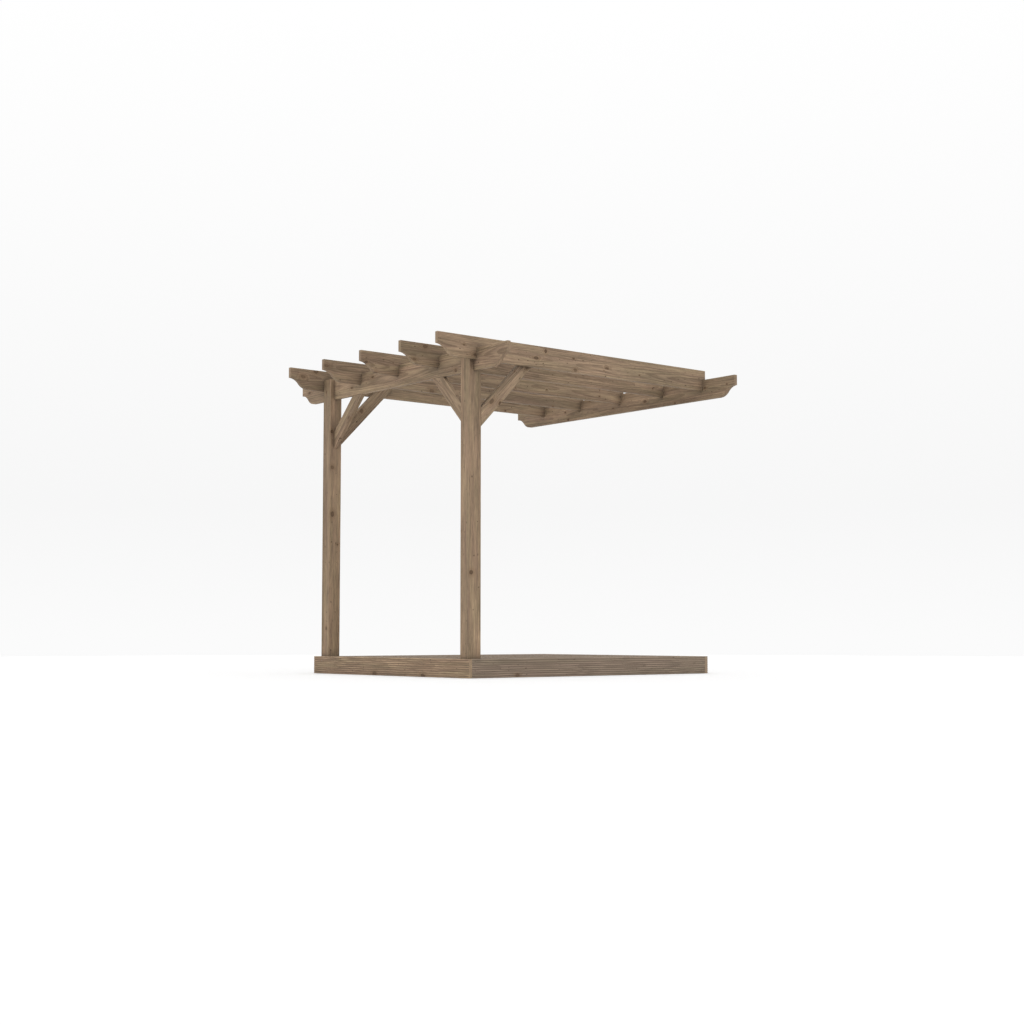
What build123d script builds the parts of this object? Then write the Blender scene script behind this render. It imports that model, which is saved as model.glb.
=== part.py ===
from build123d import *
import os
from math import ceil, cos, floor, radians, tan

# Lean-to garden pergola of planed softwood, standing on a low reeded deck.
# X runs to the right along the front beam, Y from the posts to the wall, Z up.
# The origin lies on the ground, under the middle of the roof. Lengths are in millimetres.

# Roof timbers: the rafters, the front beam and the wall plate share one section
rafter_length = 2400.0
beam_overhang = 300.0
timber_depth = 145.0
timber_thickness = 30.0
timber_arris = 2.0

# Shaped ends: an upright nose over an S-shaped cut of two equal arcs
nose_height = 72.5
ogee_length = 150.0

# Crossings: the height that a rafter and a beam have in common, and how they share the cut
lap_height = 77.0
rafter_cut_share = 0.5
fit_clearance = 0.5

# Rafters across the roof: the outer two lie against the posts, the inner three have a pitch of their own
inner_rafter_count = 3
inner_rafter_pitch = 457.0
inner_rafter_shift = 19.0

# Posts, slotted at the top for the front beam
post_width = 94.0
post_arris = 4.0
post_shoulder_height = 1836.0
post_front_inset = 34.5
post_side_inset = 39.5

# Knee braces
brace_width = 86.0
brace_drop = 355.0
brace_angle = 45.0

# Deck platform, from under the roof's front to just short of the wall
deck_width = 1800.0
deck_height = 120.0
front_overhang = 241.0
deck_wall_gap = 13.0
joist_thickness = 45.0
joist_spacing = 409.0

# Reeded boards of the deck and its fascias
board_width = 120.0
board_thickness = 28.0
board_gap_least = 4.5
board_arris = 3.0
reed_pitch = 14.0
reed_margin = 9.0
groove_mouth = 6.5
groove_floor = 3.5
groove_depth = 2.5

# How far a cutting shape runs past the face that it opens
overrun = 10.0

# Heights
joist_depth = deck_height - board_thickness
beam_bottom = deck_height + post_shoulder_height
beam_top = beam_bottom + timber_depth
rafter_bottom = beam_top - lap_height

# Places along Y
roof_front = -rafter_length / 2
wall_face = rafter_length / 2
deck_front = roof_front + front_overhang
deck_back = wall_face - deck_wall_gap
deck_middle = (deck_front + deck_back) / 2
post_y = deck_front + post_front_inset + post_width / 2
plate_y = wall_face - timber_thickness / 2

# Places along X
beam_length = deck_width + 2 * beam_overhang
post_outer_face = deck_width / 2 - post_side_inset
post_x = post_outer_face - post_width / 2
outer_rafter_x = post_outer_face + timber_thickness / 2
first_inner_rafter = inner_rafter_shift + inner_rafter_pitch * (inner_rafter_count - 1) / 2
inner_rafter_places = [first_inner_rafter - i * inner_rafter_pitch for i in range(inner_rafter_count)]
rafter_places = [outer_rafter_x] + inner_rafter_places + [-outer_rafter_x]

slot_width = timber_thickness + 2 * fit_clearance
deck_clear_width = deck_width - 2 * board_thickness
deck_clear_depth = deck_back - deck_front - 2 * board_thickness


def save(piece, label):
    """Label one finished piece and write its file."""
    piece.part.label = label
    export_step(piece.part, f"parts/{label}.step")


def ogee_end(end, inward):
    """Draw a shaped end at the given place along a timber: nose, cove and bead."""
    nose_foot = timber_depth - nose_height
    halfway = end + inward * ogee_length / 2
    bead_foot = end + inward * ogee_length
    Line((end, timber_depth), (end, nose_foot))
    TangentArc((end, nose_foot), (halfway, nose_foot / 2), tangent=(inward, 0))
    TangentArc((bead_foot, 0), (halfway, nose_foot / 2), tangent=(-inward, 0))
    return bead_foot


def rafter(label, x):
    """Rafter with a shaped front end, notched over the front beam and the wall plate."""
    elevation = Plane(origin=(x, 0, rafter_bottom), x_dir=(0, 1, 0), z_dir=(1, 0, 0))
    cut = lap_height * rafter_cut_share
    with BuildPart() as piece:
        with BuildSketch(elevation):
            with BuildLine():
                bead_foot = ogee_end(roof_front, 1)
                Polyline((bead_foot, 0), (wall_face, 0), (wall_face, timber_depth), (roof_front, timber_depth))
            make_face()
        extrude(amount=timber_thickness / 2, both=True)
        chamfer(piece.faces().filter_by(Axis.X).edges(), timber_arris)
        with BuildSketch(elevation):
            with Locations((post_y, 0)):
                Rectangle(slot_width, 2 * cut)
            with Locations((wall_face + overrun, 0)):
                open_notch = timber_thickness + fit_clearance + overrun
                Rectangle(open_notch, 2 * cut, align=(Align.MAX, Align.CENTER))
        extrude(amount=timber_thickness, both=True, mode=Mode.SUBTRACT)
    save(piece, label)


def cross_beam(label, y):
    """Beam with two shaped ends, notched from above for every rafter."""
    elevation = Plane(origin=(0, y, beam_bottom), x_dir=(1, 0, 0), z_dir=(0, -1, 0))
    cut = lap_height * (1 - rafter_cut_share)
    with BuildPart() as piece:
        with BuildSketch(elevation):
            with BuildLine():
                left_bead_foot = ogee_end(-beam_length / 2, 1)
                right_bead_foot = ogee_end(beam_length / 2, -1)
                Line((left_bead_foot, 0), (right_bead_foot, 0))
                Line((-beam_length / 2, timber_depth), (beam_length / 2, timber_depth))
            make_face()
        extrude(amount=timber_thickness / 2, both=True)
        chamfer(piece.faces().filter_by(Axis.Y).edges(), timber_arris)
        with BuildSketch(elevation):
            with Locations([(x, timber_depth) for x in rafter_places]):
                Rectangle(slot_width, 2 * cut)
        extrude(amount=timber_thickness, both=True, mode=Mode.SUBTRACT)
    save(piece, label)


def post(label, x):
    """Post whose top is slotted along X, so that the front beam sits between two cheeks."""
    with BuildPart() as piece:
        with BuildSketch(Plane(origin=(x, post_y, deck_height))):
            RectangleRounded(post_width, post_width, post_arris)
        extrude(amount=post_shoulder_height + timber_depth)
        with BuildSketch(Plane(origin=(x, post_y, beam_bottom))):
            Rectangle(post_width + 2 * overrun, slot_width)
        extrude(amount=timber_depth + overrun, mode=Mode.SUBTRACT)
    save(piece, label)


def knee_brace(label, elevation, head):
    """Brace from a post up to the given height, on a plane that starts at the post's face on the ground."""
    slope = tan(radians(brace_angle))
    foot = beam_bottom - brace_drop
    foot_height = brace_width / cos(radians(brace_angle))
    lower_reach = (head - foot) / slope
    upper_reach = (head - foot - foot_height) / slope
    with BuildPart() as piece:
        with BuildSketch(elevation):
            with BuildLine():
                Polyline((0, foot), (lower_reach, head), (upper_reach, head), (0, foot + foot_height), close=True)
            make_face()
        extrude(amount=timber_thickness / 2, both=True)
        chamfer(piece.faces().filter_by(elevation).edges(), timber_arris)
    save(piece, label)


def reeded_board(label, section, width, length):
    """Board with grooves along its show face, drawn on a section whose local Y leaves that face."""
    groove_count = floor((width - 2 * reed_margin) / reed_pitch) + 1
    with BuildPart() as piece:
        with BuildSketch(section) as outline:
            Rectangle(width, board_thickness, align=(Align.CENTER, Align.MAX))
            chamfer(outline.vertices(), board_arris)
            with GridLocations(reed_pitch, 0, groove_count, 1):
                Polygon(
                    (-groove_mouth / 2, 0),
                    (-groove_floor / 2, -groove_depth),
                    (groove_floor / 2, -groove_depth),
                    (groove_mouth / 2, 0),
                    align=None,
                    mode=Mode.SUBTRACT,
                )
        extrude(amount=length / 2, both=True)
    save(piece, label)


def joist(label, y):
    """Joist under the deck boards, from side fascia to side fascia."""
    with BuildPart() as piece:
        with BuildSketch(Plane(origin=(0, y, 0))):
            Rectangle(deck_clear_width, joist_thickness)
        extrude(amount=joist_depth)
    save(piece, label)


os.makedirs("parts", exist_ok=True)

# Roof
for number, place in enumerate(rafter_places, start=1):
    rafter(f"rafter_{number}", place)
cross_beam("front_beam", post_y)
cross_beam("wall_plate", plate_y)

# Posts and their braces, on the right and on the left
for side, sign in (("right", 1), ("left", -1)):
    post(f"{side}_post", sign * post_x)
    inner_face = sign * (post_x - post_width / 2)
    along_beam = Plane(origin=(inner_face, post_y, 0), x_dir=(-sign, 0, 0), z_dir=(0, sign, 0))
    knee_brace(f"{side}_beam_brace", along_beam, beam_bottom)
    brace_x = sign * (post_outer_face - timber_thickness / 2)
    along_rafter = Plane(origin=(brace_x, post_y + post_width / 2, 0), x_dir=(0, 1, 0), z_dir=(1, 0, 0))
    knee_brace(f"{side}_rafter_brace", along_rafter, beam_top)

# Fascias: the front and the wall side cover the ends of the two sides
fascia_height = deck_height / 2
front_section = Plane(origin=(0, deck_front, fascia_height), x_dir=(0, 0, 1), z_dir=(1, 0, 0))
wall_section = Plane(origin=(0, deck_back, fascia_height), x_dir=(0, 0, 1), z_dir=(-1, 0, 0))
right_section = Plane(origin=(deck_width / 2, deck_middle, fascia_height), x_dir=(0, 0, 1), z_dir=(0, 1, 0))
left_section = Plane(origin=(-deck_width / 2, deck_middle, fascia_height), x_dir=(0, 0, 1), z_dir=(0, -1, 0))
reeded_board("front_fascia", front_section, deck_height, deck_width)
reeded_board("wall_fascia", wall_section, deck_height, deck_width)
reeded_board("right_fascia", right_section, deck_height, deck_clear_depth)
reeded_board("left_fascia", left_section, deck_height, deck_clear_depth)

# Joists at their spacing from the front fascia, as long as they clear the last one at the wall fascia
first_joist = deck_front + board_thickness + joist_thickness / 2
last_joist = deck_back - board_thickness - joist_thickness / 2
joist_bays = ceil((last_joist - first_joist) / joist_spacing)
spaced_joists = [first_joist + i * joist_spacing for i in range(joist_bays)]
joist_places = [place for place in spaced_joists if last_joist - place > joist_thickness] + [last_joist]
for number, place in enumerate(joist_places, start=1):
    joist(f"joist_{number}", place)

# Deck boards from front to wall, with equal gaps between them
deck_board_count = floor((deck_clear_width + board_gap_least) / (board_width + board_gap_least))
board_gap = (deck_clear_width - deck_board_count * board_width) / (deck_board_count - 1)
first_board = (deck_clear_width - board_width) / 2
for number in range(deck_board_count):
    board_x = first_board - number * (board_width + board_gap)
    section = Plane(origin=(board_x, deck_middle, deck_height), x_dir=(1, 0, 0), z_dir=(0, -1, 0))
    reeded_board(f"deck_board_{number + 1}", section, board_width, deck_clear_depth)
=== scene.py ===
# %% [markdown]
# # A lean-to pergola in stained softwood
# The object is a garden pergola: slotted posts on a low reeded deck carry a front beam, and shaped
# rafters run back from it to a wall plate. Every timber arrives here as a finished solid, so what is left
# for Blender is what a joiner sees up close: the grain, the knots, the stain, the worn edges and the
# screws. The first cell loads the timbers.

# %% Load the timbers
from math import radians
from random import Random

import bmesh
import bpy
from mathutils import Matrix, Vector


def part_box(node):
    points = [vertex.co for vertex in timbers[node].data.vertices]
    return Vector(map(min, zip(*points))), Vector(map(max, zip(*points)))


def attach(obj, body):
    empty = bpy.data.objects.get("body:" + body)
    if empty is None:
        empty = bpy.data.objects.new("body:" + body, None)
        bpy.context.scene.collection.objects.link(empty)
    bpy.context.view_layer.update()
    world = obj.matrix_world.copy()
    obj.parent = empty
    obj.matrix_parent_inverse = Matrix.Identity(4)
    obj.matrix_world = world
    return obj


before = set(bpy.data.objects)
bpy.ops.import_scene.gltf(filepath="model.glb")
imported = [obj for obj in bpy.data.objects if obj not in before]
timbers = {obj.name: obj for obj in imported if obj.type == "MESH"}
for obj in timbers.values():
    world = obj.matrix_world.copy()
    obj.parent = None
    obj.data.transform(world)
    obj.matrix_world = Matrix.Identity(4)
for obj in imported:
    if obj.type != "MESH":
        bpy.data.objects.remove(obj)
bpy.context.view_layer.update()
scene = bpy.context.scene
bpy.ops.object.select_all(action="DESELECT")

# %% [markdown]
# ## Camera
# The picture to match was taken from close to the ground, ahead and to the right of the pergola, with the
# lens tipped up a little. A camera can be placed by eye, but its place, tilt and lens can also be worked
# out from where the corners of the timbers fall in the picture. That was done here, so the values look
# odd but fit.

# %% Place the camera
camera_place = (8.766, -7.038, 0.268)
camera_tilt = radians(94.454)
camera_heading = radians(50.737)
camera_lens = 55.66
camera_sensor = 36.0

bpy.ops.object.camera_add(location=camera_place, rotation=(camera_tilt, 0.0, camera_heading))
camera = bpy.context.object
camera.name = "photo_camera"
camera.data.lens = camera_lens
camera.data.sensor_width = camera_sensor
scene.camera = camera
print(f"camera at {tuple(camera.location)}, lens {camera.data.lens:.2f} mm")

# %% [markdown]
# ## Floor
# A catalogue picture of garden timber is usually taken on white, so the floor is pale and matt. A plane
# would do, but its corners would show at the sides. A wide disc has none, and its far rim gives the faint
# line where floor and background meet. It lies a hair below the ground, so that the joists' undersides
# don't flicker.

# %% Lay the floor
floor_radius = 11.0
floor_drop = 0.001
floor_sides = 128
floor_white = (0.9, 0.9, 0.9, 1.0)
floor_roughness = 0.9

bpy.ops.mesh.primitive_circle_add(
    vertices=floor_sides, radius=floor_radius, fill_type="NGON", location=(0.0, 0.0, -floor_drop)
)
floor = bpy.context.object
floor.name = "pale_floor"
floor_paint = bpy.data.materials.new("pale_floor_paint")
floor_paint.use_nodes = True
floor_shader = floor_paint.node_tree.nodes["Principled BSDF"]
floor_shader.inputs["Base Color"].default_value = floor_white
floor_shader.inputs["Roughness"].default_value = floor_roughness
floor.data.materials.append(floor_paint)
print(f"floor of {2 * floor_radius:.0f} m across")

# %% [markdown]
# ## Room
# The light of such a picture comes from everywhere: white walls, a white ceiling and the floor. Lamps on
# all sides could give it, but a bright world colour does the same with no hard shadows. The walls are a
# touch dimmer low down than overhead, which a ramp over the height of the view direction says in three
# colours. Colours are shown by the Standard view, because it keeps white paper-white.

# %% Light the room
horizon_grey = (0.965, 0.965, 0.965, 1.0)
low_wall_grey = (0.93, 0.93, 0.93, 1.0)
high_wall_grey = (1.0, 1.0, 1.0, 1.0)
low_wall_height = 0.08
high_wall_height = 0.37

room = bpy.data.worlds.new("bright_room")
room.use_nodes = True
scene.world = room
room_nodes = room.node_tree.nodes
room_links = room.node_tree.links
direction = room_nodes.new("ShaderNodeTexCoord")
height = room_nodes.new("ShaderNodeSeparateXYZ")
shade = room_nodes.new("ShaderNodeValToRGB")
shade.color_ramp.elements[0].color = horizon_grey
shade.color_ramp.elements[1].position = high_wall_height
shade.color_ramp.elements[1].color = high_wall_grey
low_wall = shade.color_ramp.elements.new(low_wall_height)
low_wall.color = low_wall_grey
room_links.new(direction.outputs["Generated"], height.inputs["Vector"])
room_links.new(height.outputs["Z"], shade.inputs["Fac"])
room_links.new(shade.outputs["Color"], room_nodes["Background"].inputs["Color"])
scene.view_settings.view_transform = "Standard"
print("room lit by", room.name)

# %% [markdown]
# ## Daylight
# Light from everywhere alone leaves the timbers flat. One weak lamp from the front, high up, tells the
# faces apart and lays a faint shadow beside the deck. A sun lamp was chosen because its light is the same
# all over a large object, and a very wide disc makes its shadows as soft as under a bright sky.

# %% Add the soft daylight
daylight_from = Vector((0.45, -0.70, 1.0))
daylight_spread = radians(70.0)
daylight_strength = 0.65

bpy.ops.object.light_add(type="SUN")
daylight = bpy.context.object
daylight.name = "soft_daylight"
daylight.data.angle = daylight_spread
daylight.data.energy = daylight_strength
daylight.rotation_euler = (-daylight_from).to_track_quat("-Z", "Y").to_euler()
print(f"daylight of strength {daylight_strength} from {tuple(daylight_from)}")

# %% [markdown]
# ## Wood as a solid
# Paint lies on a surface, but grain runs through the timber: the lines on a face and the rings on its end
# are one pattern, cut in two directions. So the wood here is a solid pattern. Each timber is thought of
# as sawn from one endless log, and a few small node groups say what that log is like at any point in it.
# They are built from plain arithmetic, so a few helpers come first: to connect, to calculate, to take a
# vector or a colour apart, to make a group with named sockets, and to place it in another tree.

# %% Helpers for node trees
def plug(tree, value, socket):
    """Connect a socket to an input, or set the input to a plain value."""
    if isinstance(value, bpy.types.NodeSocket):
        tree.links.new(value, socket)
    else:
        socket.default_value = value


def calc(tree, operation, *values):
    """Add one Math node and return its result."""
    node = tree.nodes.new("ShaderNodeMath")
    node.operation = operation
    for value, socket in zip(values, node.inputs):
        plug(tree, value, socket)
    return node.outputs["Value"]


def separate(tree, kind, value):
    """Take a vector (XYZ) or a colour (Color) apart and return its three numbers by name."""
    node = tree.nodes.new(f"ShaderNodeSeparate{kind}")
    plug(tree, value, node.inputs[0])
    return node.outputs


def numbers(*names):
    """Give each socket name the kind of a plain number."""
    return dict.fromkeys(names, "Float")


def new_group(name, inputs, outputs):
    """Start a shader node group from socket names and kinds. Return tree, inputs and outputs."""
    tree = bpy.data.node_groups.new(name, "ShaderNodeTree")
    for socket_name, kind in inputs.items():
        tree.interface.new_socket(socket_name, in_out="INPUT", socket_type=f"NodeSocket{kind}")
    for socket_name, kind in outputs.items():
        tree.interface.new_socket(socket_name, in_out="OUTPUT", socket_type=f"NodeSocket{kind}")
    entry = tree.nodes.new("NodeGroupInput")
    result = tree.nodes.new("NodeGroupOutput")
    return tree, entry.outputs, result.inputs


def use_group(tree, group, **values):
    """Place a node group in a tree; spaces in socket names are written as underscores."""
    node = tree.nodes.new("ShaderNodeGroup")
    node.node_tree = group
    for name, value in values.items():
        plug(tree, value, node.inputs[name.replace("_", " ").title()])
    return node.outputs


print("helpers ready")

# %% [markdown]
# ## Noise along the grain
# Nearly everything in wood is longer along the grain than across it. A Noise texture is even in all
# directions, so its coordinates are squeezed first: little along the grain, much across it. That could be
# a Mapping node each time, but three multiplications leave the lengths and widths readable as two
# numbers.

# %% Stretched noise
scaled_before = 1.0
smooth = 0.0
simple = 1.0
usual = 2.0
rich = 3.0
very_rich = 4.0
usual_roughness = 0.5


def stretched_noise(tree, along, across, through, stretch, detail=usual, roughness=usual_roughness):
    """Noise on the log, with one scale along the grain and one across it. Return its value and colour."""
    along_scale, across_scale = stretch
    place = tree.nodes.new("ShaderNodeCombineXYZ")
    plug(tree, calc(tree, "MULTIPLY", along, along_scale), place.inputs["X"])
    plug(tree, calc(tree, "MULTIPLY", across, across_scale), place.inputs["Y"])
    plug(tree, calc(tree, "MULTIPLY", through, across_scale), place.inputs["Z"])
    noise = tree.nodes.new("ShaderNodeTexNoise")
    noise.inputs["Scale"].default_value = scaled_before
    noise.inputs["Detail"].default_value = detail
    noise.inputs["Roughness"].default_value = roughness
    plug(tree, place.outputs["Vector"], noise.inputs["Vector"])
    return noise.outputs["Fac"], noise.outputs["Color"]


print("noise can be drawn out along the grain")

# %% [markdown]
# ## Masks and mixes
# A mask says where something is, from nought to one. A colour ramp could make it, but a Map Range node
# with a smooth step keeps its limits as plain values, and it can be reversed by giving the higher limit
# first. A Mix node then lays one colour over another by that mask, as a brush does with a stencil.

# %% Soft steps and colour mixes
def soft_step(tree, value, start, end, low=0.0, high=1.0):
    """Go smoothly from low at start to high at end."""
    node = tree.nodes.new("ShaderNodeMapRange")
    node.interpolation_type = "SMOOTHSTEP"
    settings = {"Value": value, "From Min": start, "From Max": end, "To Min": low, "To Max": high}
    for name, setting in settings.items():
        plug(tree, setting, node.inputs[name])
    return node.outputs["Result"]


def blend_colour(tree, share, first, second, mode="MIX"):
    """Mix two colours by a share."""
    node = tree.nodes.new("ShaderNodeMix")
    node.data_type = "RGBA"
    node.blend_type = mode
    sockets = {socket.identifier: socket for socket in (*node.inputs, *node.outputs)}
    plug(tree, share, sockets["Factor_Float"])
    plug(tree, first, sockets["A_Color"])
    plug(tree, second, sockets["B_Color"])
    return sockets["Result_Color"]


print("wood helpers ready")

# %% [markdown]
# ## A place in the log
# A tree grows round its pith, so what matters at a point is how far along the log it lies, how far from
# the pith, and in which direction round it. A trunk is never straight: a slow noise along the log moves
# the pith a little, and that alone turns straight lines on a face into the flame shapes of real boards.

# %% Log coordinates
pith_wander = 0.055
noise_middle = 0.5
wander_stretch = (0.9, 2.2)

log, log_in, log_out = new_group(
    "place_in_the_log",
    {"Place": "Vector", **numbers("Log Place", "Pith Across", "Pith Through")},
    numbers("Along", "Across", "Through", "Radius", "Around"),
)
split = separate(log, "XYZ", log_in["Place"])
along = calc(log, "ADD", split["X"], log_in["Log Place"])
bends = stretched_noise(log, along, split["Y"], split["Z"], wander_stretch)[1]
wander = separate(log, "Color", bends)
offsets = []
for place, pith, drift in (("Y", "Pith Across", "Red"), ("Z", "Pith Through", "Green")):
    sway = calc(log, "MULTIPLY", calc(log, "SUBTRACT", wander[drift], noise_middle), pith_wander)
    offsets.append(calc(log, "ADD", calc(log, "SUBTRACT", split[place], log_in[pith]), sway))
squares = [calc(log, "MULTIPLY", offset, offset) for offset in offsets]
plug(log, along, log_out["Along"])
plug(log, split["Y"], log_out["Across"])
plug(log, split["Z"], log_out["Through"])
plug(log, calc(log, "SQRT", calc(log, "ADD", *squares)), log_out["Radius"])
plug(log, calc(log, "ARCTAN2", offsets[1], offsets[0]), log_out["Around"])
print(f"group {log.name}: {len(log.nodes)} nodes")

# %% [markdown]
# ## Knots
# A knot is a branch that the trunk grew over. Branches point away from the pith, so on the log they are
# places along it and round it: a two-way Voronoi pattern scatters them, and its random colours say which
# places have a branch at all, how thick it is and how slanted. Knots could be painted on as spots, but
# these run through the timber, as branches do. A second Voronoi pattern fades them out where two would
# collide.

# %% Scatter the branches
knots, knots_in, knots_out = new_group(
    "knots",
    numbers("Along", "Radius", "Around", "Pitch", "Turn", "Share", "Thin", "Thick"),
    numbers("Knot", "Heart", "Halo"),
)
branch_place = knots.nodes.new("ShaderNodeCombineXYZ")
plug(knots, calc(knots, "DIVIDE", knots_in["Along"], knots_in["Pitch"]), branch_place.inputs["X"])
plug(knots, calc(knots, "DIVIDE", knots_in["Around"], knots_in["Turn"]), branch_place.inputs["Y"])


def scatter(feature):
    """Two-way Voronoi pattern of the branches: along the log and round it."""
    pattern = knots.nodes.new("ShaderNodeTexVoronoi")
    pattern.voronoi_dimensions = "2D"
    pattern.feature = feature
    pattern.inputs["Scale"].default_value = scaled_before
    plug(knots, branch_place.outputs["Vector"], pattern.inputs["Vector"])
    return pattern.outputs


branches = scatter("F1")
room_round = scatter("DISTANCE_TO_EDGE")
away = knots.nodes.new("ShaderNodeVectorMath")
away.operation = "SUBTRACT"
plug(knots, branch_place.outputs["Vector"], away.inputs[0])
plug(knots, branches["Position"], away.inputs[1])
steps = separate(knots, "XYZ", away.outputs["Vector"])
print(f"group {knots.name} started")

# %% [markdown]
# ## Size of a knot
# A branch that leaves the trunk at a slant is sawn to a long oval, and its edge is never quite round. The
# distance from the middle of the branch is therefore shortened along the grain by a random amount and
# made uneven by a fine noise. Divided by the thickness of the branch, it is one at the edge of every
# knot.

# %% Measure from the nearest branch
knot_stretches = (1.0, 2.2)
wobble_scale = 16.0
wobble = 0.7

chance = separate(knots, "Color", branches["Color"])
grown = calc(knots, "LESS_THAN", chance["Red"], knots_in["Share"])
thickness = soft_step(knots, chance["Green"], 0.0, 1.0, knots_in["Thin"], knots_in["Thick"])
drawn_out = soft_step(knots, chance["Blue"], 0.0, 1.0, *knot_stretches)
lengthwise = calc(knots, "DIVIDE", calc(knots, "MULTIPLY", steps["X"], knots_in["Pitch"]), drawn_out)
turned = calc(knots, "MULTIPLY", steps["Y"], knots_in["Turn"])
sideways = calc(knots, "MULTIPLY", turned, knots_in["Radius"])
squares = [calc(knots, "MULTIPLY", step, step) for step in (lengthwise, sideways)]
distance = calc(knots, "SQRT", calc(knots, "ADD", *squares))
uneven_edge = knots.nodes.new("ShaderNodeTexNoise")
uneven_edge.noise_dimensions = "2D"
uneven_edge.inputs["Scale"].default_value = wobble_scale
plug(knots, branch_place.outputs["Vector"], uneven_edge.inputs["Vector"])
wobbled = calc(knots, "MULTIPLY_ADD", uneven_edge.outputs["Fac"], wobble, 1.0 - wobble / 2)
thicknesses_out = calc(knots, "DIVIDE", calc(knots, "MULTIPLY", distance, wobbled), thickness)
print("knots measured")

# %% [markdown]
# ## Knot, heart and halo
# The knot itself is dark, its heart is redder and paler, and round it the wood takes a warmer colour as
# the grain bends by. All three are steps of the same distance. Some branches were dead when the trunk
# grew over them and stay dark; the live ones are paler. The group serves twice: for knots and for pin
# knots of twigs.

# %% Masks of the knots
knot_edge = (1.15, 0.85)
heart_edge = (0.9, 0.3)
halo_edge = (3.4, 0.8)
halo_room = (0.0, 0.12)
dead_mix = 7.0
dead_shares = (0.6, 1.0)

faded = calc(knots, "MULTIPLY", grown, soft_step(knots, room_round["Distance"], *halo_room))
dead = calc(knots, "FRACT", calc(knots, "MULTIPLY", chance["Blue"], dead_mix))
coloured = calc(knots, "MULTIPLY", faded, soft_step(knots, dead, 0.0, 1.0, *dead_shares))
for edge, mask, strength in (
    (knot_edge, "Knot", coloured),
    (heart_edge, "Heart", faded),
    (halo_edge, "Halo", faded),
):
    within = soft_step(knots, thicknesses_out, *edge)
    plug(knots, calc(knots, "MULTIPLY", strength, within), knots_out[mask])
print(f"group {knots.name}: {len(knots.nodes)} nodes")

# %% [markdown]
# ## Growth rings
# Each year adds a pale soft ring that ends in a thin hard dark one. The distance from the pith, divided
# by the width of a ring, counts the years, and its fraction says where in the year a point lies. Noise
# makes good and bad years, and the halo of a knot pushes the rings aside.

# %% Ring group
ring_width = 0.0058
good_and_bad_years = 2.6
year_stretch = (1.4, 40.0)
knot_swerve = 1.6
late_start = 0.25
late_full = 0.85
late_end = 0.98
year_end = 1.0

rings, rings_in, rings_out = new_group(
    "growth_rings", numbers("Along", "Radius", "Halo"), numbers("Latewood")
)
years = calc(rings, "DIVIDE", rings_in["Radius"], ring_width)
luck = stretched_noise(rings, rings_in["Along"], rings_in["Radius"], 0.0, year_stretch, very_rich)[0]
uneven = calc(rings, "MULTIPLY_ADD", luck, good_and_bad_years, years)
swerved = calc(rings, "MULTIPLY_ADD", rings_in["Halo"], knot_swerve, uneven)
time_of_year = calc(rings, "FRACT", swerved)
darkening = soft_step(rings, time_of_year, late_start, late_full)
stop = soft_step(rings, time_of_year, year_end, late_end)
plug(rings, calc(rings, "MULTIPLY", darkening, stop), rings_out["Latewood"])
print(f"group {rings.name}: rings of about {1000 * ring_width:.1f} mm")

# %% [markdown]
# ## Fibres and drying checks
# Between the rings, a planed and stained face is full of streaks along bundles of fibres, and of the
# fibres themselves, finer than a hair. Both are noise drawn out along the grain. They could be cut, but
# at this width a dark line with a dent does: a line where a slow noise passes its middle value, kept
# only in a few dried-out places.

# %% Fibre group
streak_stretch = (5.0, 86.0)
streak_roughness = 0.65
fibre_stretch = (26.0, 900.0)
check_stretch = (0.3, 21.0)
check_patch_stretch = (1.6, 9.0)
check_edge = (0.004, 0.0)
check_patch_edge = (0.60, 0.68)

fibres, fibres_in, fibres_out = new_group(
    "fibres_and_checks",
    numbers("Along", "Across", "Through"),
    numbers("Streak", "Fibre", "Check"),
)
grain_place = (fibres_in["Along"], fibres_in["Across"], fibres_in["Through"])
streaks = stretched_noise(fibres, *grain_place, streak_stretch, very_rich, streak_roughness)[0]
plug(fibres, streaks, fibres_out["Streak"])
plug(fibres, stretched_noise(fibres, *grain_place, fibre_stretch, simple)[0], fibres_out["Fibre"])
crack_line = stretched_noise(fibres, *grain_place, check_stretch, smooth)[0]
off_line = calc(fibres, "ABSOLUTE", calc(fibres, "SUBTRACT", crack_line, noise_middle))
crack_patch = stretched_noise(fibres, *grain_place, check_patch_stretch, smooth)[0]
dried_out = soft_step(fibres, crack_patch, *check_patch_edge)
cracks = calc(fibres, "MULTIPLY", soft_step(fibres, off_line, *check_edge), dried_out)
plug(fibres, cracks, fibres_out["Check"])
print(f"group {fibres.name}: {len(fibres.nodes)} nodes")

# %% [markdown]
# ## Brown stain
# The timbers are stained a greyed mid brown. Stain is thin and sinks in unevenly, so one brown would look
# like plastic. Nine colours are mixed instead: for soft, hard and sap wood, for knots with heart and halo,
# for cracks and bare wood, and a grey brown for the painted shade in the corners; two faint tints go with
# them. They are given as linear values, which is why they look darker as numbers than in the picture.

# %% Stain colours
early_brown = (0.286, 0.205, 0.135, 1.0)
late_brown = (0.150, 0.100, 0.064, 1.0)
sap_brown = (0.315, 0.230, 0.160, 1.0)
knot_brown = (0.066, 0.041, 0.023, 1.0)
heart_brown = (0.110, 0.063, 0.033, 1.0)
halo_brown = (0.185, 0.112, 0.060, 1.0)
check_brown = (0.050, 0.033, 0.022, 1.0)
bare_brown = (0.345, 0.250, 0.168, 1.0)
# Painted shade: the dark grey brown laid into the corners where timbers meet.
corner_shade_brown = (0.060, 0.045, 0.033, 1.0)
rosy_tint = (1.035, 0.98, 0.975, 1.0)
olive_tint = (0.98, 1.01, 0.93, 1.0)
print("stain mixed")

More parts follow.
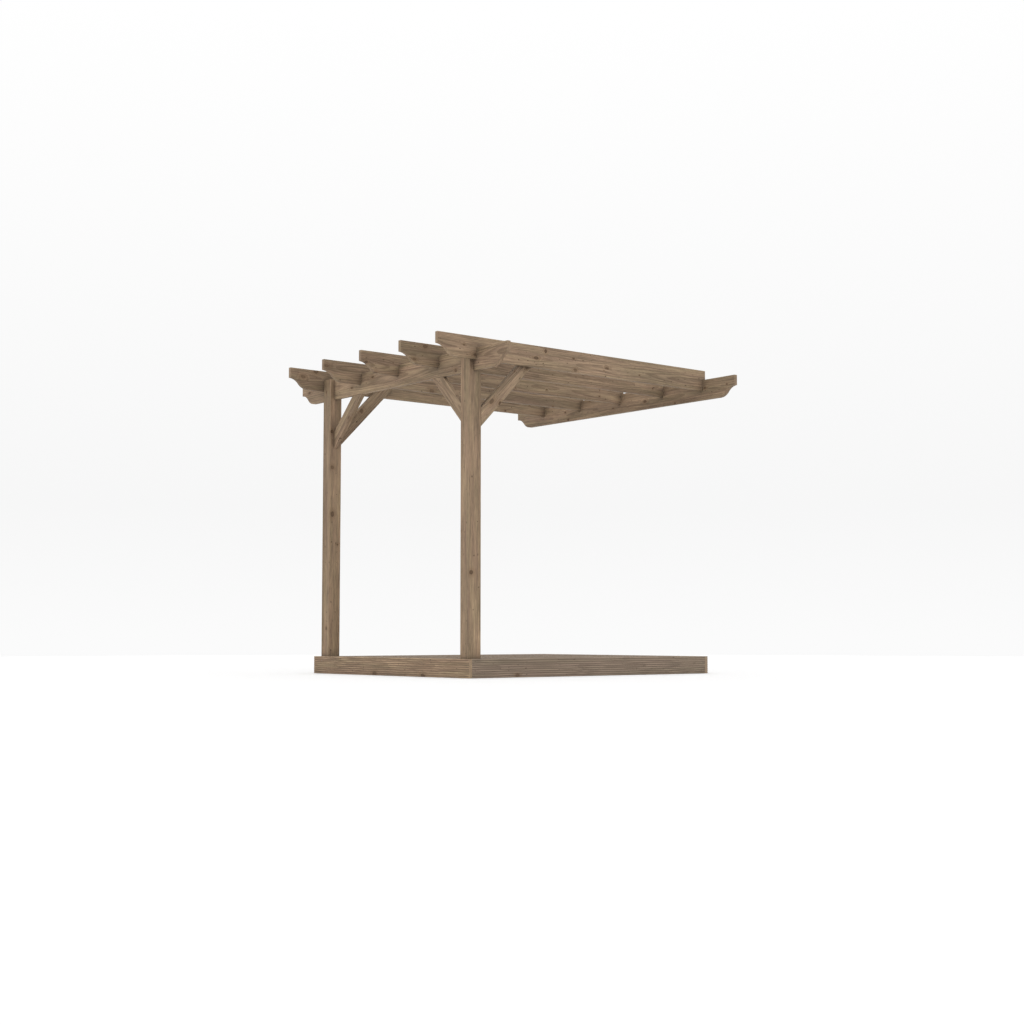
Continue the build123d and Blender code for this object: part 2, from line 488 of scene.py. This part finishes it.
# %% [markdown]
# ## What the log is like here
# The stain group joins the groups made so far. A timber gives it a place, the way the surface faces and
# where in the log it was sawn; the groups answer with rings, knots, pin knots and fibres at that place.
# One group that every timber's material uses, rather than all its nodes again in each, means that the
# wood is described once.

# %% Start the stain group
knot_pitch = 0.30
knot_turn = 0.55
knot_thin = 0.0040
knot_thick = 0.0115
pin_pitch = 0.07
pin_turn = 0.21
pin_places = 0.22
pin_thin = 0.0018
pin_thick = 0.0038

stain, stain_in, stain_out = new_group(
    "stained_softwood",
    {
        "Place": "Vector",
        "Facing": "Vector",
        **numbers("Log Place", "Pith Across", "Pith Through"),
        **numbers("Tone", "Figure", "Weathering", "Knottiness", "Openness"),
    },
    {"Colour": "Color", **numbers("Roughness", "Height")},
)
spot = use_group(
    stain,
    log,
    place=stain_in["Place"],
    log_place=stain_in["Log Place"],
    pith_across=stain_in["Pith Across"],
    pith_through=stain_in["Pith Through"],
)
log_spot = {"along": spot["Along"], "radius": spot["Radius"], "around": spot["Around"]}
grain_spot = (spot["Along"], spot["Across"], spot["Through"])
knot = use_group(
    stain,
    knots,
    **log_spot,
    pitch=knot_pitch,
    turn=knot_turn,
    share=stain_in["Knottiness"],
    thin=knot_thin,
    thick=knot_thick,
)
pin_knot = use_group(
    stain,
    knots,
    **log_spot,
    pitch=pin_pitch,
    turn=pin_turn,
    share=pin_places,
    thin=pin_thin,
    thick=pin_thick,
)
ring = use_group(stain, rings, along=spot["Along"], radius=spot["Radius"], halo=knot["Halo"])
fibre = use_group(stain, fibres, along=spot["Along"], across=spot["Across"], through=spot["Through"])
print(f"group {stain.name} started")

# %% [markdown]
# ## Rings and sapwood
# Stain sinks deep into the soft early wood and hardly into the hard rings, which stay dark from within.
# The outer wood of the log, the sapwood, takes less colour, and so a timber often has one light edge. The
# ring mask and the distance from the pith are at hand, so two mixes are all that it takes.

# %% Stain: rings and sapwood
late_share = 0.55
sap_edge = (0.122, 0.150)
sap_share = 0.45

late_mask = calc(stain, "MULTIPLY", ring["Latewood"], late_share)
colour = blend_colour(stain, late_mask, early_brown, late_brown)
sap_mask = soft_step(stain, spot["Radius"], *sap_edge, 0.0, sap_share)
colour = blend_colour(stain, sap_mask, colour, sap_brown)
print("rings coloured")

# %% [markdown]
# ## Patches, bands and streaks
# A brush leaves wide patches, the grain leaves bands and streaks, and the fibres a fine grain over all.
# Each pattern makes the brown a little lighter or darker, so they are multiplied: none can hide another.
# The figure of a timber says how strongly they show. Two faint tints and some greying by the weather
# follow.

# %% Stain: patches, bands and streaks
noise_spread = (0.25, 0.75)
patch_stretch = (1.1, 9.0)
patch_tones = (0.82, 1.18)
band_stretch = (2.2, 34.0)
band_tones = (0.86, 1.14)
streak_tones = (0.76, 1.24)
fibre_tones = (0.78, 1.22)
hue_stretch = (2.0, 26.0)
plain = 1.0

patch = stretched_noise(stain, *grain_spot, patch_stretch)[0]
band = stretched_noise(stain, *grain_spot, band_stretch, rich)[0]
streakiness = plain
for pattern, tones in (
    (patch, patch_tones),
    (band, band_tones),
    (fibre["Streak"], streak_tones),
    (fibre["Fibre"], fibre_tones),
):
    streakiness = calc(stain, "MULTIPLY", streakiness, soft_step(stain, pattern, *noise_spread, *tones))
unevenness = calc(stain, "SUBTRACT", streakiness, plain)
figured = calc(stain, "MULTIPLY_ADD", unevenness, stain_in["Figure"], plain)
tone = calc(stain, "MULTIPLY", figured, stain_in["Tone"])
toned = stain.nodes.new("ShaderNodeVectorMath")
toned.operation = "SCALE"
plug(stain, colour, toned.inputs["Vector"])
plug(stain, tone, toned.inputs["Scale"])
hue = soft_step(stain, stretched_noise(stain, *grain_spot, hue_stretch, rich)[0], *noise_spread)
tint = blend_colour(stain, hue, rosy_tint, olive_tint)
colour = blend_colour(stain, plain, toned.outputs["Vector"], tint, mode="MULTIPLY")
weathered = stain.nodes.new("ShaderNodeHueSaturation")
plug(stain, calc(stain, "SUBTRACT", plain, stain_in["Weathering"]), weathered.inputs["Saturation"])
plug(stain, colour, weathered.inputs["Color"])
colour = weathered.outputs["Color"]
print("streaks coloured")

# %% [markdown]
# ## Colour of knots and checks
# Knots are laid over the brown from the outside in: the warm halo, the dark knot with its redder heart,
# then the pin knots and the drying checks. The order matters, as with paint: what is laid last is on top.

# %% Stain: knots and checks
halo_share = 0.5
pin_share = 0.85

colour = blend_colour(stain, calc(stain, "MULTIPLY", knot["Halo"], halo_share), colour, halo_brown)
knot_colour = blend_colour(stain, knot["Heart"], knot_brown, heart_brown)
colour = blend_colour(stain, knot["Knot"], colour, knot_colour)
colour = blend_colour(stain, calc(stain, "MULTIPLY", pin_knot["Knot"], pin_share), colour, knot_brown)
colour = blend_colour(stain, fibre["Check"], colour, check_brown)
print("knots coloured")

# %% [markdown]
# ## Ends and arrises
# The sawn ends of a timber are open pores, and its slanted arrises are rubbed by hands and straps, so
# both are a little paler. They could be picked out face by face, but the way the surface faces tells as
# much: an end looks along the grain, and an arris looks half one way and half the other.

# %% Stain: end grain and rubbed arrises
end_edge = (0.75, 0.95)
end_share = 0.15
arris_edge = (0.1, 0.25)
arris_shares = (0.0, 0.15)

facing = separate(stain, "XYZ", stain_in["Facing"])
end_mask = soft_step(stain, calc(stain, "ABSOLUTE", facing["X"]), *end_edge)
colour = blend_colour(stain, calc(stain, "MULTIPLY", end_mask, end_share), colour, bare_brown)
flat = calc(stain, "MULTIPLY", facing["Z"], facing["Z"])
slope = calc(stain, "MULTIPLY", flat, calc(stain, "SUBTRACT", plain, flat))
rubbing = soft_step(stain, patch, *noise_spread, *arris_shares)
rubbed = calc(stain, "MULTIPLY", soft_step(stain, slope, *arris_edge), rubbing)
colour = blend_colour(stain, rubbed, colour, bare_brown)
print("ends and arrises coloured")

# %% [markdown]
# ## Painted shade in the corners
# Where timbers meet, the corner lies in shade, and that shade is painted into the colour as a dark grey
# brown. The Ambient Occlusion node of a material measures how open a point is to its surroundings. It
# stays in the material; the group only takes its answer as a number and lays the painted shade over what
# is less open.

# %% Stain: painted shade in the corners
# Painted shade: the less open a point is, the more of the dark grey brown it gets.
corner_edge = (0.95, 0.35)
corner_shade_share = 0.5

cornered = soft_step(stain, stain_in["Openness"], *corner_edge, 0.0, corner_shade_share)
colour = blend_colour(stain, cornered, colour, corner_shade_brown)
plug(stain, colour, stain_out["Colour"])
print("corners shaded")

# %% [markdown]
# ## Sheen and relief
# Planed wood is satin, and rougher where the fibres stand up. These steps are far less than a millimetre,
# so they are left to a height for a Bump node: the shape of the timber itself stays as it was cut.

# %% Stain: roughness and height
base_roughness = 0.55
fibre_roughness = 0.25
fibre_height = 0.3
streak_height = 0.4
ring_height = 0.35
knot_height = 0.3
check_height = -1.0

rough = calc(stain, "MULTIPLY_ADD", fibre["Fibre"], fibre_roughness, base_roughness)
plug(stain, rough, stain_out["Roughness"])
relief = calc(stain, "MULTIPLY", fibre["Fibre"], fibre_height)
for pattern, rise in (
    (fibre["Streak"], streak_height),
    (ring["Latewood"], ring_height),
    (knot["Knot"], knot_height),
    (fibre["Check"], check_height),
):
    relief = calc(stain, "MULTIPLY_ADD", pattern, rise, relief)
plug(stain, relief, stain_out["Height"])
print(f"group {stain.name}: {len(stain.nodes)} nodes")

# %% [markdown]
# ## How each timber was sawn
# The pattern needs to know which way the grain of a timber runs and where its middle is. Both are read
# from the timber itself: its corners, measured along the grain, across it and through it. A Mapping node
# then turns the pattern to the timber, and three numbers say where in the log it was sawn.

# %% Grain frame of a timber
def spread(timber, axis):
    """Lowest and highest reach of a timber along a direction."""
    reach = [vertex.co.dot(axis) for vertex in timber.data.vertices]
    return min(reach), max(reach)


def grain_frame(timber, along, across):
    """Middle, axes and half sizes of a timber whose grain and width run in the given directions."""
    axes = [Vector(along).normalized(), Vector(across).normalized()]
    axes.append(axes[0].cross(axes[1]))
    reaches = [spread(timber, axis) for axis in axes]
    middle = sum((axis * (low + high) / 2 for axis, (low, high) in zip(axes, reaches)), Vector())
    halves = [(high - low) / 2 for low, high in reaches]
    return middle, axes, halves


print("grain frames can be measured")

# %% [markdown]
# ## Finish of one timber
# Each timber gets a material of its own with the stain group in it, because each has its own place in the
# log. Two Mapping nodes turn place and direction to the timber. The Principled shader takes the colour,
# the roughness and the bump, and a low shine: stain leaves no film as varnish would.

# %% Stain one timber
bump_height = 0.0006
bump_strength = 0.5
timber_shine = 0.3
corner_reach = 0.11
corner_samples = 8
log_step = 3.7
stretches = (log_step * count for count in range(1, len(timbers) + 1))
knotty = 0.44
unweathered = 0.0


def stain_timber(
    timber, along, across, pith, tone, figure=plain, weathering=unweathered, knottiness=knotty, shade_corners=True
):
    """Give a timber its own stained finish. Return its tree, three sockets and the half sizes."""
    middle, axes, halves = grain_frame(timber, along, across)
    turn = Matrix(axes).transposed().to_euler()
    finish = bpy.data.materials.new(f"{timber.name}_stain")
    finish.use_nodes = True
    tree = finish.node_tree
    shader = tree.nodes["Principled BSDF"]
    source = tree.nodes.new("ShaderNodeTexCoord")
    place = tree.nodes.new("ShaderNodeMapping")
    place.vector_type = "TEXTURE"
    place.inputs["Location"].default_value = middle
    place.inputs["Rotation"].default_value = turn
    facing = tree.nodes.new("ShaderNodeMapping")
    facing.vector_type = "TEXTURE"
    facing.inputs["Rotation"].default_value = turn
    plug(tree, source.outputs["Object"], place.inputs["Vector"])
    plug(tree, source.outputs["Normal"], facing.inputs["Vector"])
    # The Ambient Occlusion node measures how open a point is; the stain group paints shade where it is
    # less.
    openness = plain
    if shade_corners:
        corners = tree.nodes.new("ShaderNodeAmbientOcclusion")
        corners.samples = corner_samples
        corners.inputs["Distance"].default_value = corner_reach
        openness = corners.outputs["AO"]
    wood = use_group(
        tree,
        stain,
        place=place.outputs["Vector"],
        facing=facing.outputs["Vector"],
        log_place=next(stretches),
        pith_across=pith[0],
        pith_through=pith[1],
        tone=tone,
        figure=figure,
        weathering=weathering,
        knottiness=knottiness,
        openness=openness,
    )
    bump = tree.nodes.new("ShaderNodeBump")
    bump.inputs["Distance"].default_value = bump_height
    bump.inputs["Strength"].default_value = bump_strength
    plug(tree, wood["Height"], bump.inputs["Height"])
    plug(tree, wood["Colour"], shader.inputs["Base Color"])
    plug(tree, wood["Roughness"], shader.inputs["Roughness"])
    plug(tree, bump.outputs["Normal"], shader.inputs["Normal"])
    shader.inputs["Specular IOR Level"].default_value = timber_shine
    timber.data.materials.clear()
    timber.data.materials.append(finish)
    return tree, place.outputs["Vector"], facing.outputs["Vector"], wood["Colour"], halves


print("stain can be brushed on")

# %% [markdown]
# ## Roof timbers
# No two timbers of a real pergola have one colour: each comes from another tree and takes the stain in
# its own way. So each gets a tone of its own, and a stretch of the log of its own. The tones of rafters 2
# to 5 and of the wall plate are also lowered as painted shade, for the shade under the roof. Rafters and
# beams are sawn beside the pith, which shows as flames on their wide faces. The pith is drawn at random,
# from a fixed seed.

# %% Stain the rafters, the beam and the plate
X_AXIS = Vector((1, 0, 0))
Y_AXIS = Vector((0, 1, 0))
Z_AXIS = Vector((0, 0, 1))
sawing_seed = 4
sawing = Random(sawing_seed)
# Rafters 2 to 5 and the wall plate get lowered tones as painted shade under the roof.
rafter_tones_and_shade = (0.97, 0.885, 0.875, 0.845, 0.855)
beam_tone = 0.97
plate_tone_and_shade = 0.925
pith_off_middle = 0.03
pith_below_face = (0.06, 0.10)


def tangential_cut():
    """Pith beside a board: a little off its middle across, and some way behind its show face."""
    return sawing.uniform(-pith_off_middle, pith_off_middle), -sawing.uniform(*pith_below_face)


for number, tone in enumerate(rafter_tones_and_shade, start=1):
    stain_timber(timbers[f"rafter_{number}"], Y_AXIS, Z_AXIS, tangential_cut(), tone)
stain_timber(timbers["front_beam"], X_AXIS, Z_AXIS, tangential_cut(), beam_tone)
stain_timber(timbers["wall_plate"], X_AXIS, Z_AXIS, tangential_cut(), plate_tone_and_shade)
print("rafters, beam and plate stained")

# %% [markdown]
# ## Posts
# A post is as thick as it is wide. One sawn with the pith in its middle would crack badly, so good posts
# are sawn beside it: here the pith lies behind the back corner, and the faces in view show fairly
# straight grain. Under the roof they hardly grey: a weathering below nought makes their brown a bit
# richer.

# %% Stain the posts
post_pith = (-0.08, 0.08)
post_tones = {"right_post": 0.815, "left_post": 0.845}
post_figure = 1.1
post_weathering = -0.05
for name, tone in post_tones.items():
    stain_timber(timbers[name], Z_AXIS, X_AXIS, post_pith, tone, post_figure, post_weathering)
print(f"{len(post_tones)} posts stained")

# %% [markdown]
# ## Braces
# The grain of a brace runs along it, so the pattern has to be turned to the slant. The direction up the
# brace and the one towards its lower edge are given, and kept, since the screws need them.
# The brace at the far left is given a darker tone than the others, as painted shade under the roof.

# %% Stain the braces
# The far left brace gets a lower tone as painted shade under the roof.
brace_tones_and_shade = {"left_rafter_brace": 0.76, "right_rafter_brace": 0.92}
brace_grains = {}
for side, inward in (("right", -1), ("left", 1)):
    brace_grains[f"{side}_beam_brace"] = (Vector((inward, 0, 1)), Vector((inward, 0, -1)))
    brace_grains[f"{side}_rafter_brace"] = (Vector((0, 1, 1)), Vector((0, 1, -1)))
for name, (up_the_brace, towards_its_lower_edge) in brace_grains.items():
    tone = brace_tones_and_shade.get(name, plain)
    stain_timber(timbers[name], up_the_brace, towards_its_lower_edge, tangential_cut(), tone)
print(f"{len(brace_grains)} braces stained")

# %% [markdown]
# ## Shade in the reeds
# The deck boards and the fascias round them have grooves along their show face, so that rain runs off and
# feet don't slip. The grooves are darkened with painted shade, which makes them read as dark lines from
# far away. The grooves are real cuts in the solids: the finish only has to know how deep below the show
# face a point lies.

# %% Groove group
groove_top = 0.0004
groove_full = 0.0012
groove_floor = 0.0028
groove_below = 0.0034
plain_margin = 0.0035

# This group gives the mask of the painted shade in the grooves.
grooves, grooves_in, grooves_out = new_group(
    "groove_painted_shade",
    {"Place": "Vector", "Facing": "Vector", **numbers("Half Width", "Half Through")},
    numbers("Painted Shade"),
)
board_place = separate(grooves, "XYZ", grooves_in["Place"])
board_facing = separate(grooves, "XYZ", grooves_in["Facing"])
depth = calc(grooves, "SUBTRACT", grooves_in["Half Through"], board_place["Z"])
in_groove = soft_step(grooves, depth, groove_top, groove_full)
not_below = soft_step(grooves, depth, groove_below, groove_floor)
off_middle = calc(grooves, "ABSOLUTE", board_place["Y"])
from_edge = calc(grooves, "SUBTRACT", grooves_in["Half Width"], off_middle)
off_edge = calc(grooves, "GREATER_THAN", from_edge, plain_margin)
not_end = soft_step(grooves, calc(grooves, "ABSOLUTE", board_facing["X"]), *reversed(end_edge))
groove_shade = calc(grooves, "MULTIPLY", in_groove, not_below)
for mask in (off_edge, not_end):
    groove_shade = calc(grooves, "MULTIPLY", groove_shade, mask)
plug(grooves, groove_shade, grooves_out["Painted Shade"])
print(f"group {grooves.name}: {len(grooves.nodes)} nodes")

# %% [markdown]
# ## Fascias
# Four boards stand on edge round the deck, reeded like the boards on top. They are stained as the timbers
# are, with fewer knots and the painted shade of the grooves mixed in last. Each has its own tone, figure
# and share of greying, because the weather reaches the sides in different ways.

# %% Stain the fascias
# Painted shade for the grooves: a dark brown and how much of it is laid in.
groove_shade_brown = (0.075, 0.055, 0.040, 1.0)
groove_shade_share = 0.34
fairly_clear = 0.25
fascia_grains = {
    "front_fascia": X_AXIS,
    "wall_fascia": -X_AXIS,
    "right_fascia": Y_AXIS,
    "left_fascia": -Y_AXIS,
}
fascia_tones = {"front_fascia": 1.08, "wall_fascia": 1.0, "right_fascia": 0.94, "left_fascia": 0.95}
fascia_figures = {"front_fascia": 0.85, "wall_fascia": 0.5, "right_fascia": 0.2, "left_fascia": 0.5}
fascia_weathering = {"front_fascia": 0.0, "wall_fascia": 0.1, "right_fascia": 0.2, "left_fascia": 0.1}


def stain_board(name, along, across, tone, figure, weathering):
    """Stain a reeded board and paint shade into its grooves."""
    tree, place, facing, colour, halves = stain_timber(
        timbers[name], along, across, tangential_cut(), tone, figure, weathering, fairly_clear, shade_corners=False
    )
    groove = use_group(
        tree, grooves, place=place, facing=facing, half_width=halves[1], half_through=halves[2]
    )
    # Painted shade: the grooves are darkened towards the dark brown.
    share = calc(tree, "MULTIPLY", groove["Painted Shade"], groove_shade_share)
    groove_shaded_colour = blend_colour(tree, share, colour, groove_shade_brown)
    plug(tree, groove_shaded_colour, tree.nodes["Principled BSDF"].inputs["Base Color"])


for name, along in fascia_grains.items():
    stain_board(name, along, Z_AXIS, fascia_tones[name], fascia_figures[name], fascia_weathering[name])
print(f"{len(fascia_grains)} fascias stained")

# %% [markdown]
# ## Deck boards
# The boards run from the front to the wall and are trodden on, so they are darker and greyer than the
# frame. Boards from one pack still differ, and a tone drawn at random for each keeps them apart.

# %% Stain the deck boards
deck_boards = sorted(name for name in timbers if name.startswith("deck_board"))
board_tones = (0.76, 0.92)
board_figure = 0.65
board_weathering = 0.12
for name in deck_boards:
    stain_board(name, Y_AXIS, -X_AXIS, sawing.uniform(*board_tones), board_figure, board_weathering)
print(f"{len(deck_boards)} deck boards stained")

# %% [markdown]
# ## Joists
# The joists under the deck are rough stock that nobody sees from above. They get the same stain in one
# darker tone. No painted corner shade is laid on them or on the boards: down there nearly everything is a
# corner.

# %% Stain the joists
joists = sorted(name for name in timbers if name.startswith("joist"))
joist_tone = 0.85
for name in joists:
    stain_timber(timbers[name], X_AXIS, Z_AXIS, tangential_cut(), joist_tone, shade_corners=False)
print(f"{len(joists)} joists stained")

# %% [markdown]
# ## A screw head
# A pergola like this goes together with coated screws, driven until the head is level with the wood. A
# bare disc would do from afar, but a head has a rim. One is modelled from a short cylinder: its top face
# is inset and raised a little, then inset again for the driver. There will be hundreds, so it has few
# sides.

# %% Model one screw head
screw_sides = 12
screw_radius = 0.0035
screw_depth = 0.0020
screw_stand = 0.0004
rim_width = 0.0005
rim_rise = 0.0002
star_inset = 0.0011
star_waist = 0.6
star_depth = 0.0010
upward = 0.9

bpy.ops.object.select_all(action="DESELECT")
bpy.ops.mesh.primitive_cylinder_add(
    vertices=screw_sides,
    radius=screw_radius,
    depth=screw_depth,
    location=(0.0, 0.0, screw_stand - rim_rise - screw_depth / 2),
)
screw = bpy.context.object
screw.name = "screw_head"
bpy.ops.object.transform_apply(location=True, rotation=True, scale=True)

bpy.ops.object.mode_set(mode="EDIT")
bpy.ops.mesh.select_mode(type="FACE")
bpy.ops.mesh.select_all(action="DESELECT")
head_mesh = bmesh.from_edit_mesh(screw.data)
for face in head_mesh.faces:
    face.select_set(face.normal.z > upward)
bmesh.update_edit_mesh(screw.data)
bpy.ops.mesh.inset(thickness=rim_width)
bpy.ops.transform.translate(value=(0.0, 0.0, rim_rise))
bpy.ops.mesh.inset(thickness=star_inset)
bpy.ops.object.mode_set(mode="OBJECT")
print(f"blank head with {len(screw.data.polygons)} faces")

# %% [markdown]
# ## The star
# The bit of the driver sits in a star of six points. The inset face in the middle has twelve corners:
# every second one is drawn in towards its centre, which makes the star, and the star is then sunk.
# Cutting it with a Boolean would work too, but would leave long thin faces.

# %% Sink the star for the driver
bpy.ops.object.mode_set(mode="EDIT")
head_mesh = bmesh.from_edit_mesh(screw.data)
star_face = next(face for face in head_mesh.faces if face.select)
star_centre = star_face.calc_center_median()
bpy.ops.mesh.select_mode(type="VERT")
for face in head_mesh.faces:
    face.select_set(False)
for corner in list(star_face.verts)[::2]:
    corner.select_set(True)
bmesh.update_edit_mesh(screw.data)
bpy.ops.transform.resize(value=(star_waist, star_waist, 1.0), center_override=star_centre)
bpy.ops.mesh.select_all(action="DESELECT")
bpy.ops.mesh.select_mode(type="FACE")
head_mesh = bmesh.from_edit_mesh(screw.data)
nearest = min(head_mesh.faces, key=lambda face: (face.calc_center_median() - star_centre).length)
nearest.select_set(True)
bmesh.update_edit_mesh(screw.data)
bpy.ops.mesh.extrude_region_move(TRANSFORM_OT_translate={"value": (0.0, 0.0, -star_depth)})
bpy.ops.object.mode_set(mode="OBJECT")
print(f"screw head with {len(screw.data.polygons)} faces, {1000 * 2 * screw_radius:.0f} mm across")

# %% [markdown]
# ## Bronzed steel
# Screws for outdoor wood have a brown coat that wears to bare steel on the high spots. A fine noise
# decides where: it goes from the bronze to the steel and makes the worn places smoother. Metallic is
# simply one.

# %% Bronzed steel of the screws
steel_bronze = (0.20, 0.145, 0.095, 1.0)
steel_worn = (0.42, 0.36, 0.29, 1.0)
steel_speckle = 900.0
steel_roughness = (0.35, 0.60)
all_metal = 1.0

steel = bpy.data.materials.new("bronzed_steel")
steel.use_nodes = True
steel_tree = steel.node_tree
steel_shader = steel_tree.nodes["Principled BSDF"]
steel_place = steel_tree.nodes.new("ShaderNodeTexCoord")
speckle = steel_tree.nodes.new("ShaderNodeTexNoise")
speckle.inputs["Scale"].default_value = steel_speckle
plug(steel_tree, steel_place.outputs["Object"], speckle.inputs["Vector"])
wear = soft_step(steel_tree, speckle.outputs["Fac"], *noise_spread)
steel_colour = blend_colour(steel_tree, wear, steel_bronze, steel_worn)
steel_rough = soft_step(steel_tree, speckle.outputs["Fac"], *noise_spread, *steel_roughness)
plug(steel_tree, steel_colour, steel_shader.inputs["Base Color"])
plug(steel_tree, steel_rough, steel_shader.inputs["Roughness"])
steel_shader.inputs["Metallic"].default_value = all_metal
screw.data.materials.append(steel)
print("steel bronzed")

# %% [markdown]
# ## Driving the screws
# A driven screw points into the wood and stops at any turn of its star. Each copy gets a mesh of its own,
# which is turned at random, aimed out of the wood and moved to its place; then the copies of one kind are
# joined to one piece. Instances would be lighter, but one joined piece is simpler to hand on.

# %% Drive screws
full_turn = radians(360.0)
smooth_below = radians(30.0)
driving_seed = 9
driving = Random(driving_seed)


def drive_screws(name, places):
    """Copy the screw head to places, given as a point and the way out of the wood, and join the copies."""
    bpy.ops.object.select_all(action="DESELECT")
    for point, outward in places:
        copy = screw.copy()
        copy.data = screw.data.copy()
        aim = outward.to_track_quat("Z", "Y").to_matrix().to_4x4()
        twist = Matrix.Rotation(driving.uniform(0.0, full_turn), 4, "Z")
        copy.data.transform(Matrix.Translation(point) @ aim @ twist)
        scene.collection.objects.link(copy)
        copy.select_set(True)
        bpy.context.view_layer.objects.active = copy
    bpy.ops.object.join()
    bpy.ops.object.shade_smooth_by_angle(angle=smooth_below)
    piece = bpy.context.object
    piece.name = name
    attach(piece, "root")
    print(f"{name}: {len(places)} screws")


def middle_of(name):
    """Middle of a timber's box."""
    low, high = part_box(name)
    return (low + high) / 2


print("driver ready")

# %% [markdown]
# ## Deck screws
# Two screws hold a board wherever it crosses a joist, near its edges so that it lies flat. The places
# follow from the boards and the joists themselves. Where a post stands on the deck, the screws would be
# hidden under it or half under it, so those are left out.

# %% Screws of the deck boards
screw_line = 0.042
post_clearance = 0.006
post_boxes = [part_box(name) for name in ("right_post", "left_post")]


def under_a_post(point):
    """True where a post stands on the deck."""
    return any(
        low.x - post_clearance < point.x < high.x + post_clearance
        and low.y - post_clearance < point.y < high.y + post_clearance
        for low, high in post_boxes
    )


deck_places = []
for board in deck_boards:
    board_middle = middle_of(board)
    board_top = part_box(board)[1].z
    for joist in joists:
        for side in (-screw_line, screw_line):
            point = Vector((board_middle.x + side, middle_of(joist).y, board_top))
            if not under_a_post(point):
                deck_places.append((point, Z_AXIS))
drive_screws("deck_screws", deck_places)

# %% [markdown]
# ## Fascia screws
# The fascias are screwed on in pairs, each screw on a reed and not in a groove. At the sides the pairs
# sit at the joist ends. The front and wall fascias lie along a joist, so there the pairs are simply
# spaced out.

# %% Screws of the fascias
reed_from_middle = 0.028
fascia_screw_bays = 4
fascia_end_margin = 0.1
fascia_places = []
for name, outward in (("front_fascia", -Y_AXIS), ("wall_fascia", Y_AXIS)):
    low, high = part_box(name)
    face_y = low.y if outward.y < 0 else high.y
    first_x = low.x + fascia_end_margin
    bay = (high.x - low.x - 2 * fascia_end_margin) / fascia_screw_bays
    for count in range(fascia_screw_bays + 1):
        for rise in (-reed_from_middle, reed_from_middle):
            point = Vector((first_x + count * bay, face_y, (low.z + high.z) / 2 + rise))
            fascia_places.append((point, outward))
for name, outward in (("right_fascia", X_AXIS), ("left_fascia", -X_AXIS)):
    low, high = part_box(name)
    face_x = low.x if outward.x < 0 else high.x
    for joist in joists:
        for rise in (-reed_from_middle, reed_from_middle):
            point = Vector((face_x, middle_of(joist).y, (low.z + high.z) / 2 + rise))
            fascia_places.append((point, outward))
drive_screws("fascia_screws", fascia_places)

# %% [markdown]
# ## Brace screws
# A brace is fixed through its lower edge: near the foot into the post, and near the head up into the
# beam. A brace beside a rafter has no timber over its head. Two screws hold it there, from its inner face
# into the rafter, where the two overlap.

# %% Screws of the braces
brace_end_margin = 0.05
head_pair = 0.022
foot = -1
head = 1
brace_places = []
for name, (up_the_brace, towards_its_lower_edge) in brace_grains.items():
    middle, axes, halves = grain_frame(timbers[name], up_the_brace, towards_its_lower_edge)
    ends = (foot, head) if name.endswith("beam_brace") else (foot,)
    for end in ends:
        on_edge = middle + axes[0] * end * (halves[0] - brace_end_margin) + axes[1] * halves[1]
        brace_places.append((on_edge, axes[1]))
for side, inward, rafter in (("right", -1, "rafter_1"), ("left", 1, "rafter_5")):
    low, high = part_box(f"{side}_rafter_brace")
    face_x = low.x if inward < 0 else high.x
    lap_middle = (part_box(rafter)[0].z + high.z) / 2
    lap_y = (low.y + high.y) / 2 + lap_middle - (low.z + high.z) / 2
    for step in (-head_pair, head_pair):
        brace_places.append((Vector((face_x, lap_y + step, lap_middle)), Vector((inward, 0, 0))))
drive_screws("brace_screws", brace_places)

# %% [markdown]
# ## Post screws
# The front beam sits in the slot of a post and is held by two screws through the back cheek, so that none
# shows from the front. Their heights are measured from the edges of the beam.

# %% Screws of the posts
cheek_margin = 0.04
beam_low, beam_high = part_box("front_beam")
cheek_places = []
for name in ("right_post", "left_post"):
    low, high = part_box(name)
    for height in (beam_low.z + cheek_margin, beam_high.z - cheek_margin):
        cheek_places.append((Vector(((low.x + high.x) / 2, high.y, height)), Y_AXIS))
drive_screws("post_screws", cheek_places)

# %% [markdown]
# ## Rafter screws
# A rafter lies in the notches of the beam and the plate, and one slanting screw at each keeps it from
# lifting. Only the head is made: just beside the crossing, a little above the beam, and on the inner face
# of an outer rafter. With the last screw in place, the pattern head is taken away.

# %% Screws of the rafters
toe_rise = 0.022
toe_step = 0.045
toe_places = []
for number in range(1, len(rafter_tones_and_shade) + 1):
    low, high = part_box(f"rafter_{number}")
    outermost_left = number == len(rafter_tones_and_shade)
    face_x, outward = (high.x, X_AXIS) if outermost_left else (low.x, -X_AXIS)
    for y in (middle_of("front_beam").y + toe_step, middle_of("wall_plate").y - toe_step):
        toe_places.append((Vector((face_x, y, beam_high.z + toe_rise)), outward))
drive_screws("rafter_screws", toe_places)
bpy.data.objects.remove(screw)
